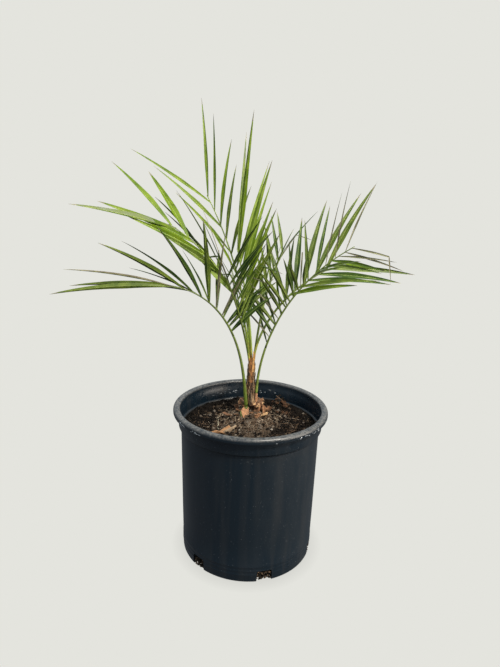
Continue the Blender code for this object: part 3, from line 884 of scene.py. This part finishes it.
def sheaths():
    """Dry and yellow leaf sheaths that wrap the top of the stem and the feet of the petioles."""
    wraps = Bundle()
    for heading, low, high, wide, tone in ((-100, 0.050, 0.092, 34, 0), (-55, 0.068, 0.104, 22, 1),
                                           (-20, 0.012, 0.045, 44, 2), (170, 0.040, 0.080, 60, 0),
                                           (60, 0.045, 0.090, 70, 0), (-130, 0.062, 0.088, 36, 0)):
        points, faces = [], []
        rows, across = 10, 8
        for i in range(rows + 1):
            height = between((low, high), i / rows)
            spread = wide * (1 - 0.75 * (i / rows) ** 2)
            for k in range(across + 1):
                turn = heading + spread * (2 * k / across - 1)
                radius = stem_radius(min(height, 0.085)) + 0.0011 - 0.0012 * max(height - 0.085, 0) / 0.02
                points.append(TRUNK_CENTRE + direction(turn, 0) * radius + UP * (TRUNK_FOOT + height))
        for i in range(rows):
            for k in range(across):
                a = i * (across + 1) + k
                faces.append((a, a + 1, a + across + 2, a + across + 1))
        wraps.add(points, faces, tone)
    tones = [
        mottled("sheath brown", (0.25, 0.105, 0.032), 0.65),
        mottled("sheath orange", (0.32, 0.165, 0.050), 0.55),
        mottled("sheath pale", (0.36, 0.245, 0.135), 0.7),
    ]
    show("trunk_sheaths", wraps.mesh("trunk_sheaths"), tones, "trunk")


def foot_of(frond):
    """Where a frond starts: at its own foot, or on its slot at the trunk's top."""
    if "foot" in frond:
        return Vector(frond["foot"])
    foot = TRUNK_CENTRE + UP * TRUNK_TOP
    if frond["slot"] is not None:
        foot += SLOT_RING * direction(frond["slot"], 0)
    return foot


def bowed_line(frond):
    """The points along a frond from foot to tip, with the heading and lift between each and the next."""
    points, ways = [foot_of(frond)], []
    for i in range(FINE_STEPS):
        late = ((i + 0.5) / FINE_STEPS) ** frond["bend"]
        heading, lift = between(frond["heading"], late), between(frond["lift"], late)
        ways.append((heading, lift))
        points.append(points[-1] + direction(heading, lift) * frond["length"] / FINE_STEPS)
    return points, ways


def station(course, share):
    """The point at this share of a frond, the way it runs, its upper side and its right side."""
    points, ways = course
    place = min(share, 1) * FINE_STEPS
    step = min(int(place), FINE_STEPS - 1)
    heading, lift = ways[step]
    along = direction(heading, lift)
    upper = direction(heading, lift + 90)
    return points[step].lerp(points[step + 1], place - step), along, upper, along.cross(upper)


def blade_start(frond):
    return frond["blade"] - BLADE_LEAD


def leaf_rows(frond):
    """Both sides' leaflets, evenly spaced from the blade's start to near its tip, the sides staggered."""
    rows = []
    for side in (-1, 1):
        count, rise = frond["left" if side < 0 else "right"]
        late = ROW_SHIFT if side > 0 else 0
        span = (frond["blade"] + late, LAST_SHARE - ROW_SHIFT + late)
        rows.append((side, count, span, frond["open"], rise, frond["leaf"], frond["width"], frond["droop"]))
    return rows


def stray(number, side, pace):
    """How far one leaflet strays from its row's rule, between -1 and 1."""
    return sin(pace * number + 1.7 * side)


def petiole(name, frond, surfaces):
    """The bare stalk: green, and first orange and yellow where it leaves the trunk's top."""
    course, start = bowed_line(frond), blade_start(frond)
    steps = 30
    foot_radius = frond.get("foot_radius", PETIOLE_FOOT_RADIUS)
    line = [station(course, start * i / steps)[0] for i in range(steps + 1)]
    widths = [between((foot_radius, PETIOLE_TOP_RADIUS), (i / steps) ** 0.7) for i in range(steps + 1)]
    points, faces = tube(line, widths, 12)
    orange, yellow = (0, 0) if "foot" in frond else (4, 9)
    tones = [0 if face[0] // 12 < orange else 1 if face[0] // 12 < yellow else 2 for face in faces]
    show("petiole_fine_" + name, mesh_of(name, points, faces, tones), surfaces, "petiole_" + name)


def leaflet(course, row, number, shade, dice):
    """One leaflet, a narrow blade folded along a pale midrib to a dry point: its points and faces."""
    side, count, span, opening, rise, length, width, droop = row
    share = number / (count - 1) if count > 1 else 0
    base, along, upper, right = station(course, between(span, share))
    late = 1 - ease(share)
    wide = radians(between(opening, late) + OPEN_STRAY * stray(number, side, 2.3))
    up = radians(between(rise, late) + RISE_STRAY * stray(number, side, 4.1))
    size = between(length, share) * (1 + LENGTH_STRAY * stray(number, side, 5.3)) * 0.985
    way = cos(wide) * along + sin(wide) * (cos(up) * side * right + sin(up) * upper)
    face = cos(up) * upper - side * sin(up) * right
    hinge = way.cross(UP).normalized()
    width *= dice.uniform(0.9, 1.1) * (DRY_WIDTH if shade == "dry" else 1)
    snapped = dice.random() < SNAPPED_SHARE and width < SNAP_WIDTH
    twist = radians(dice.uniform(-35, 35))
    points, faces, parts = [], [], []
    spot, reached = base.copy(), 0
    for i in range(LEAFLET_STEPS + 1):
        distance = i / LEAFLET_STEPS
        tilt = radians(droop) * (0.5 - (distance + reached) / 2)
        if snapped and distance > SNAP_PLACE:
            tilt -= radians(SNAP_ANGLE)
        run = Quaternion(hinge, tilt) @ way
        spot = spot + run * (distance - reached) * size
        reached = distance
        facing = Quaternion(run, twist * distance) @ face
        across = run.cross(facing).normalized()
        top = across.cross(run).normalized()
        swelling = 0.28 + 0.72 * min(distance / 0.38, 1) ** 0.8
        fullness = swelling * (1 - max(distance - 0.38, 0) / 0.62) ** 0.72
        half = across * width * max(fullness, 0.02) / 2
        fold = top * half.length * LEAFLET_FOLD
        line = min(half.length * 0.14, 0.00028)
        side_way = across * line
        keel = top * (-0.00012)
        points += [spot - half + fold, spot - side_way, spot + keel, spot + side_way, spot + half + fold]
    for i in range(LEAFLET_STEPS):
        for k in range(4):
            a = 5 * i + k
            faces.append((a, a + 1, a + 6, a + 5))
            parts.append("midrib" if k in (1, 2) else "dry" if i >= LEAFLET_STEPS - 1 else "blade")
    return points, faces, parts


def frond(name, frond_plan, surfaces, rib_surfaces):
    """A rib with its leaflets, in place of the frond's solid."""
    dice = random.Random(SEED + sum(ord(letter) for letter in name))
    course, start = bowed_line(frond_plan), blade_start(frond_plan)
    steps = 34
    line = [station(course, between((start, 1), i / steps))[0] for i in range(steps + 1)]
    widths = [between((PETIOLE_TOP_RADIUS, RIB_TIP_RADIUS), i / steps) for i in range(steps + 1)]
    points, faces = tube(line, widths, 10)
    show("rib_" + name, mesh_of(name, points, faces), rib_surfaces, "frond_" + name)
    blades = Bundle()
    for row in leaf_rows(frond_plan):
        for number in range(row[1]):
            shade = dice.choice(NEIGHBOUR_TONES[frond_plan["tone"]])
            if number >= row[1] - DRY_ENDS.get(name, 0):
                shade = "dry"
            points, faces, parts = leaflet(course, row, number, shade, dice)
            tone = list(LEAF_COLOURS).index(shade + " leaf")
            index = {"blade": tone, "midrib": 5, "dry": 4}
            blades.add(points, faces, [index[part] for part in parts])
    show("leaflets_" + name, blades.mesh("leaflets_" + name), surfaces, "frond_" + name)


def plant():
    leaf_surfaces = [leaf_surface(name, *colours) for name, colours in LEAF_COLOURS.items()]
    feet = [
        mottled("petiole foot", (0.34, 0.18, 0.045), 0.5),
        mottled("petiole yellow", (0.23, 0.235, 0.040), 0.45),
    ]
    stalks = {tone: mottled("stalk " + tone, colour, 0.42) for tone, colour in STALK_COLOURS.items()}
    for name, frond_plan in FRONDS.items():
        stalk = stalks[frond_plan["tone"]]
        petiole(name, frond_plan, feet + [stalk])
        frond(name, frond_plan, leaf_surfaces, [stalk])


def stage():
    """A pale floor that meets the pale background without a line, with a faint shadow under the pot."""
    bpy.ops.mesh.primitive_plane_add(size=12, location=(0, 0, -0.0005))
    ground = bpy.context.object
    ground.name = "pale_floor"
    graph = Graph(bpy.data.materials.new("pale floor"))
    place = graph.place()
    radius = graph.add("ShaderNodeVectorMath", {"operation": "LENGTH"}, [place], "Value")
    shade = radius.clamp(BASE_RADIUS - 0.004, BASE_RADIUS + 0.022)
    glow = graph.blend(shade, tuple(value * 0.86 for value in BACKGROUND), BACKGROUND)
    graph.set(Base_Color=(0, 0, 0, 1), Emission_Color=glow, Emission_Strength=1.0, Roughness=1.0)
    graph.put(graph.shader.inputs["Specular IOR Level"], 0.0)
    ground.data.materials.append(graph.owner)
    ground.visible_diffuse = False
    ground.visible_glossy = False


def light():
    scene = bpy.context.scene
    world = bpy.data.worlds.new("pale sky")
    scene.world = world
    graph = Graph(world)
    way = graph.add("ShaderNodeTexCoord", {}, {}, "Generated")
    height = graph.add("ShaderNodeSeparateXYZ", {}, [way], "Z")
    sky = graph.blend(height.clamp(-0.2, 0.7), HORIZON, ZENITH)
    seen = graph.add("ShaderNodeLightPath", {}, {}, "Is Camera Ray")
    graph.set(Color=graph.blend(seen, sky, BACKGROUND))
    for name, spot, power, size, colour in (
        ("sun", (0.9, -1.1, 1.9), 75, 0.35, (1.0, 0.94, 0.84)),
        ("sky", (-1.4, -0.3, 1.6), 14, 1.2, (0.85, 0.92, 1.0)),
        ("warm side", (1.3, -0.5, 0.5), 18, 1.0, (1.0, 0.90, 0.78)),
        ("soft back", (0.4, 1.5, 1.0), 14, 1.4, (0.92, 0.96, 1.0)),
    ):
        lamp = bpy.data.lights.new(name, "AREA")
        lamp.energy, lamp.size, lamp.color = power, size, colour
        thing = bpy.data.objects.new(name, lamp)
        thing.location = spot
        thing.rotation_euler = (Vector((0, 0, 0.35)) - Vector(spot)).to_track_quat("-Z", "Y").to_euler()
        thing.visible_glossy = name not in ("sky", "soft back")
        scene.collection.objects.link(thing)


def camera():
    scene = bpy.context.scene
    eye = bpy.data.cameras.new("camera")
    eye.lens = CAMERA_LENS
    eye.sensor_fit = "AUTO"
    eye.sensor_width = 36
    thing = bpy.data.objects.new("camera", eye)
    scene.collection.objects.link(thing)
    forward = (CAMERA_AIM - CAMERA_SPOT).normalized()
    right = forward.cross(UP).normalized()
    above = right.cross(forward)
    turned_right = cos(CAMERA_ROLL) * right + sin(CAMERA_ROLL) * above
    turned_up = cos(CAMERA_ROLL) * above - sin(CAMERA_ROLL) * right
    axes = Matrix((turned_right, turned_up, -forward)).transposed().to_4x4()
    thing.matrix_world = Matrix.Translation(CAMERA_SPOT) @ axes
    scene.camera = thing
    scene.view_settings.view_transform = "Standard"
    scene.view_settings.look = "None"


def main():
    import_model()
    pot()
    soil()
    trunk()
    plant()
    stage()
    light()
    camera()


main()
